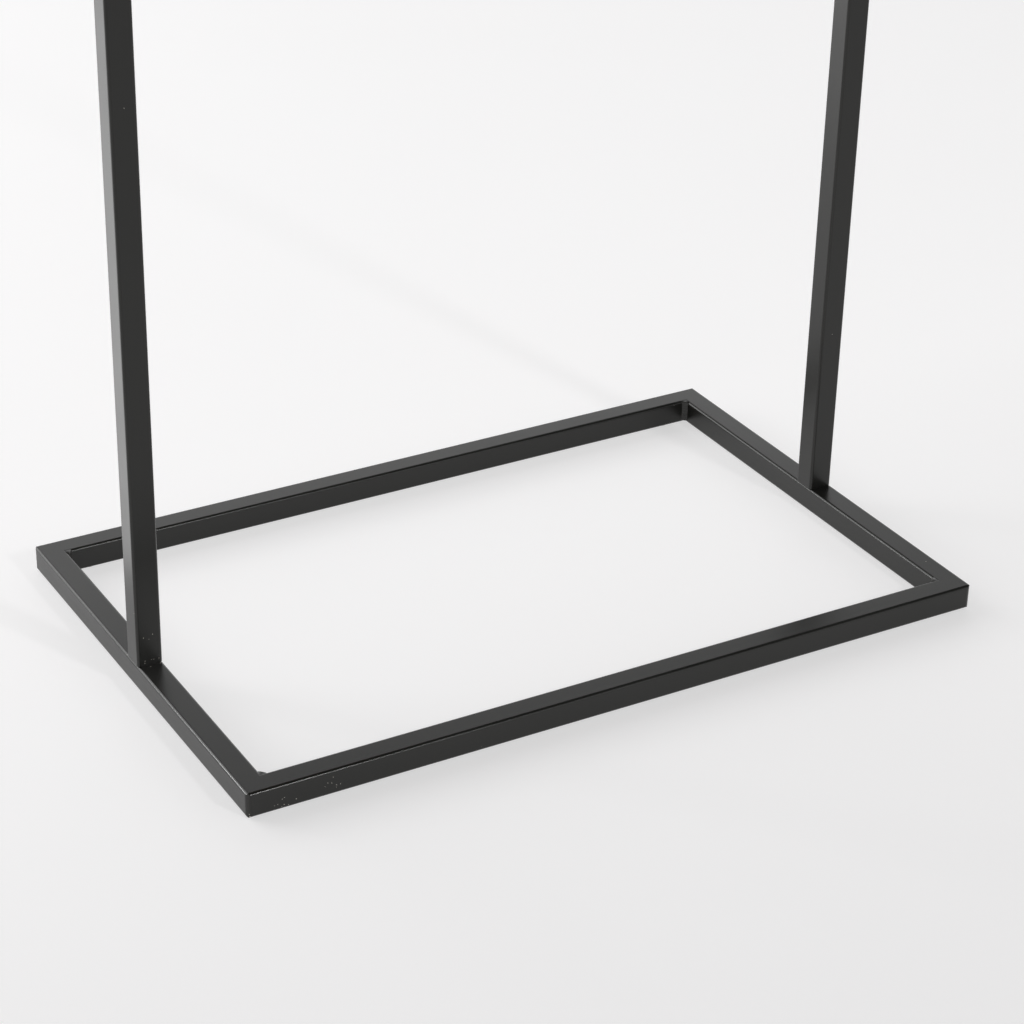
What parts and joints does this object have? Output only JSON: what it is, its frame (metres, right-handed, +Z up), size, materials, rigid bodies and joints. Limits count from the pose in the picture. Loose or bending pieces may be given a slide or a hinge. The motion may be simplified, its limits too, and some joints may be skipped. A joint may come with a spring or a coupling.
{
  "type": "valet stand",
  "caption": "Valet stand: a mitred square-tube floor frame with uprights that carry a crossbar, a swivel jacket hanger, a round trouser bar and a lift-off wooden tray.",
  "frame": {"origin": "on the floor, in the middle of the base frame", "axes": "+Z up, +X along the crossbar to the right, -Y to the front"},
  "size_m": [0.6286, 0.398, 1.1221],
  "materials": {
    "powder_black": "satin black powder coat",
    "black_screw": "black oxide with a thin oil film",
    "zinc_steel": "bright zinc plate",
    "stem_steel": "fine turned and brushed",
    "brass": "turned",
    "oak": "oiled oak, open grain",
    "leather": "vegetable tanned, smooth",
    "pad_rubber": "matt",
    "cap_plastic": "moulded, fine spark texture",
    "bush_nylon": "moulded, smooth"
  },
  "bodies": {
    "frame": {"base_front_rail": "powder_black", "base_rear_rail": "powder_black", "base_left_rail": "powder_black", "base_right_rail": "powder_black", "base_corner_welds": "powder_black", "floor_pads": "pad_rubber", "left_upright": "powder_black", "right_upright": "powder_black", "left_foot_plate": "powder_black", "right_foot_plate": "powder_black", "foot_bolts": "zinc_steel", "foot_washers": "zinc_steel", "left_top_cap": "cap_plastic", "right_top_cap": "cap_plastic", "top_crossbar": "powder_black", "crossbar_end_plates": "powder_black", "crossbar_screws": "black_screw", "trouser_bar": "oak", "trouser_bar_inserts": "brass", "trouser_bar_screws": "black_screw", "hanger_bush": "bush_nylon"},
    "hanger": {"hanger_yoke": "oak", "hanger_stem": "stem_steel", "hanger_stem_insert": "brass", "hanger_rosette": "stem_steel", "hanger_washer": "zinc_steel", "hanger_locknut": "zinc_steel"},
    "tray": {"tray_body": "oak", "tray_liner": "leather"}
  },
  "joints": [
    {"name": "hanger_swivel", "type": "hinge", "parent": "frame", "child": "hanger", "pos_m": [0, 0, 1.08], "axis": [0, 0, 1], "continuous": true},
    {"name": "tray_lift", "type": "slide", "parent": "frame", "child": "tray", "axis": [0, 0, 1], "range_m": [0, 0.04]}
  ]
}
